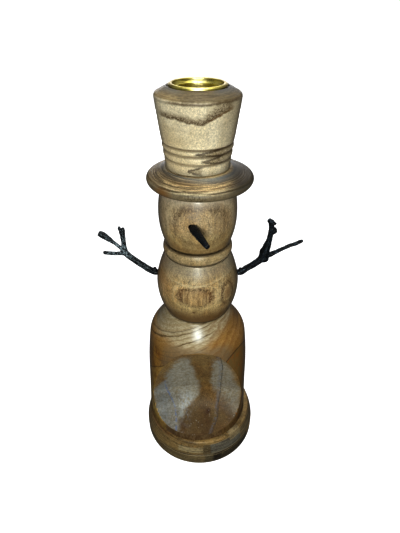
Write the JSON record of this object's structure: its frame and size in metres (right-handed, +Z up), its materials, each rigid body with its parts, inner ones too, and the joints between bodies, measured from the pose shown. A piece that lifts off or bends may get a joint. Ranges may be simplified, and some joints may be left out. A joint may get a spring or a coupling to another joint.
{
  "type": "snowman candle holder",
  "caption": "Turned wooden snowman taper-candle holder: brass cup in a top hat, iron twig arms and nose, scooped belly recess, round plinth.",
  "frame": {"origin": "on the turning axis at the underside of the felt pad, where the figure stands", "axes": "+Z up along the turning axis; the figure faces -Y; +X is the figure's left hand"},
  "size_m": [0.1194, 0.0806, 0.2495],
  "materials": {
    "wood_base": "lacquered laminated blocks, satin",
    "wood_body": "glossy lacquer, warm brown with pale shoulder",
    "wood_ball": "glossy lacquer, tan",
    "wood_head": "glossy lacquer, tan",
    "wood_brim": "satin lacquer, brown",
    "wood_crown": "satin lacquer, pale cream",
    "dowel_wood": "bare turned dowel",
    "cup_brass": "polished spun brass",
    "twig_iron": "blackened, semi-gloss, rough forged twig",
    "screw_steel": "zinc plated",
    "felt": "pressed felt"
  },
  "bodies": {
    "figure": {"base_plinth": "wood_base", "felt_pad": "felt", "base_screw_left": "screw_steel", "base_screw_right": "screw_steel", "lower_body": "wood_body", "waist_dowel": "dowel_wood", "torso_ball": "wood_ball", "scarf_collar": "wood_ball", "neck_dowel": "dowel_wood", "head": "wood_head", "nose_peg": "twig_iron", "hat_brim": "wood_brim", "hat_dowel": "dowel_wood", "hat_crown": "wood_crown"},
    "cup": {"candle_cup": "cup_brass"},
    "arm_left": {"left_arm": "twig_iron"},
    "arm_right": {"right_arm": "twig_iron"}
  },
  "joints": [
    {"name": "cup_lift", "type": "slide", "parent": "figure", "child": "cup", "axis": [0, 0, 1], "range_m": [0, 0.024]},
    {"name": "left_arm_turn", "type": "hinge", "parent": "figure", "child": "arm_left", "pos_m": [0.0245, 0, 0.1415], "axis": [1, 0, 0], "continuous": true},
    {"name": "right_arm_turn", "type": "hinge", "parent": "figure", "child": "arm_right", "pos_m": [-0.0245, 0, 0.1415], "axis": [1, 0, 0], "continuous": true}
  ]
}
